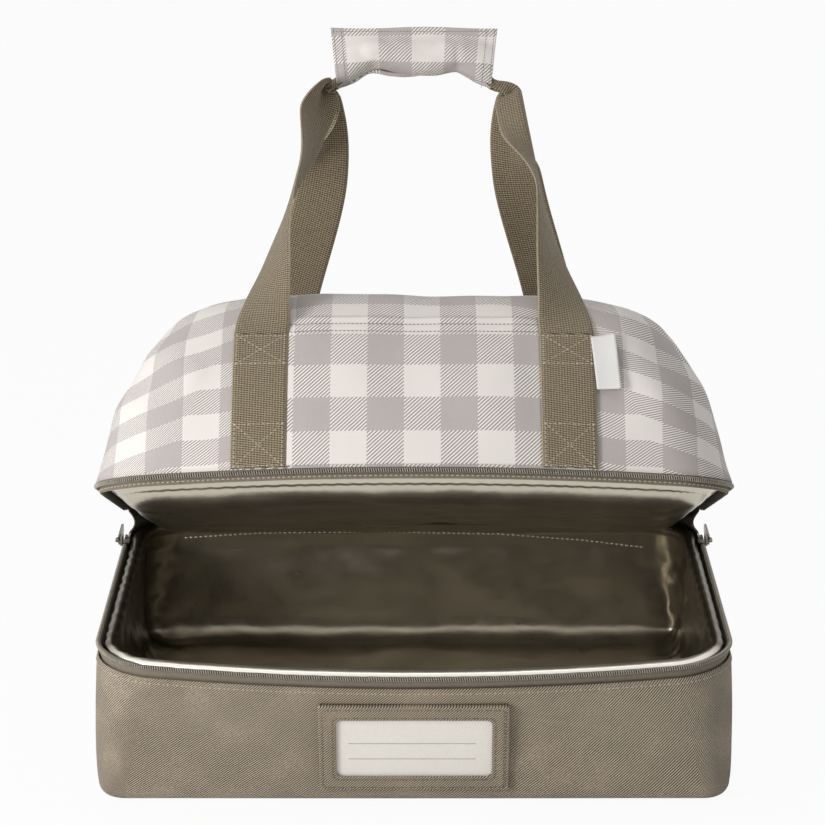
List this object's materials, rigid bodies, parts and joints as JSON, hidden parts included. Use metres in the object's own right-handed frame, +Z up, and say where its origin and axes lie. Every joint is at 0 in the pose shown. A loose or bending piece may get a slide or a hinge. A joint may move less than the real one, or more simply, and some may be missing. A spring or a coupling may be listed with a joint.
{
  "type": "casserole carrier",
  "caption": "Soft insulated casserole carrier: zipped tub with a name-card pocket, hinged domed upper bag, and webbing carrying loops joined by a wrap-round grip.",
  "frame": {"origin": "on the floor under the middle of the tub", "axes": "+X to the carrier's right as seen from its front, front towards -Y, +Z up"},
  "size_m": [0.4226, 0.3211, 0.4573],
  "materials": {
    "taupe_cloth": "twill weave",
    "check_cloth": "printed check",
    "webbing": "ribbed weave",
    "foam": "closed-cell foam",
    "lining": "heat-sealed film",
    "stiffener": "sheet",
    "zip_tape": "knitted tape",
    "zip_coil": "nylon coil",
    "zip_metal": "satin",
    "card": "paper",
    "clear_vinyl": "clear sheet",
    "hook_and_loop": "napped",
    "woven_tag": "woven ribbon"
  },
  "bodies": {
    "tub": {"tub_wall_cloth": "taupe_cloth", "tub_floor_cloth": "taupe_cloth", "tub_floor_board": "stiffener", "tub_floor_foam": "foam", "tub_wall_foam": "foam", "tub_lining": "lining", "tub_zip_tape": "zip_tape", "tub_zip_chain": "zip_coil", "tub_hinge_strip": "zip_tape", "card_pocket_frame": "taupe_cloth", "card_pocket_window": "clear_vinyl"},
    "name_card": {"name_card": "card"},
    "left_slider": {"left_zip_slider": "zip_metal"},
    "left_pull": {"left_zip_pull": "zip_metal"},
    "right_slider": {"right_zip_slider": "zip_metal"},
    "right_pull": {"right_zip_pull": "zip_metal"},
    "upper_bag": {"bag_shell_cloth": "check_cloth", "bag_foam": "foam", "bag_lining": "lining", "bag_zip_tape": "zip_tape", "bag_zip_chain": "zip_coil", "bag_hinge_strip": "zip_tape", "bag_floor_under_lining": "lining", "bag_floor_foam": "foam", "bag_floor_board": "stiffener", "bag_floor_lining": "lining", "ridge_zip_tape_front": "zip_tape", "ridge_zip_chain_front": "zip_coil", "ridge_zip_tape_rear": "zip_tape", "ridge_zip_chain_rear": "zip_coil", "front_strap_left": "webbing", "front_strap_right": "webbing", "rear_strap_left": "webbing", "rear_strap_right": "webbing", "front_pocket_panel": "check_cloth", "side_tag": "woven_tag"},
    "ridge_slider": {"ridge_zip_slider": "zip_metal"},
    "ridge_pull": {"ridge_zip_pull": "zip_metal"},
    "handle": {"front_loop_webbing": "webbing", "rear_loop_webbing": "webbing", "grip_rear_half": "check_cloth", "grip_loop_strip": "hook_and_loop"},
    "grip_flap": {"grip_front_half": "check_cloth", "grip_hook_strip": "hook_and_loop"}
  },
  "joints": [
    {"name": "lid_hinge", "type": "hinge", "parent": "tub", "child": "upper_bag", "pos_m": [0, 0.1375, 0.101], "axis": [-1, 0, 0], "range_deg": [-23, 67]},
    {"name": "card_slide", "type": "slide", "parent": "tub", "child": "name_card", "axis": [1, 0, 0], "range_m": [0, 0.112]},
    {"name": "left_slider_slide", "type": "slide", "parent": "tub", "child": "left_slider", "axis": [0, -1, 0], "range_m": [0, 0.175]},
    {"name": "left_pull_hinge", "type": "hinge", "parent": "left_slider", "child": "left_pull", "pos_m": [-0.2087, 0.085, 0.101], "axis": [0, 0, 1], "range_deg": [0, 180]},
    {"name": "right_slider_slide", "type": "slide", "parent": "tub", "child": "right_slider", "axis": [0, -1, 0], "range_m": [0, 0.175]},
    {"name": "right_pull_hinge", "type": "hinge", "parent": "right_slider", "child": "right_pull", "pos_m": [0.2087, 0.085, 0.101], "axis": [0, 0, -1], "range_deg": [0, 180]},
    {"name": "ridge_slider_slide", "type": "slide", "parent": "upper_bag", "child": "ridge_slider", "axis": [-1, 0, 0], "range_m": [0, 0.188]},
    {"name": "ridge_pull_hinge", "type": "hinge", "parent": "ridge_slider", "child": "ridge_pull", "pos_m": [0.094, 0.06442, 0.28074], "axis": [0, -0.9205, 0.3907], "range_deg": [0, 180]},
    {"name": "handle_swing", "type": "hinge", "parent": "upper_bag", "child": "handle", "pos_m": [0, 0.04883, 0.24402], "axis": [-1, 0, 0], "range_deg": [-35, 35], "deforming": ["front_loop_webbing", "rear_loop_webbing"]},
    {"name": "grip_flap_hinge", "type": "hinge", "parent": "handle", "child": "grip_flap", "pos_m": [0, 0.12228, 0.41705], "axis": [1, 0, 0], "range_deg": [0, 150]}
  ]
}
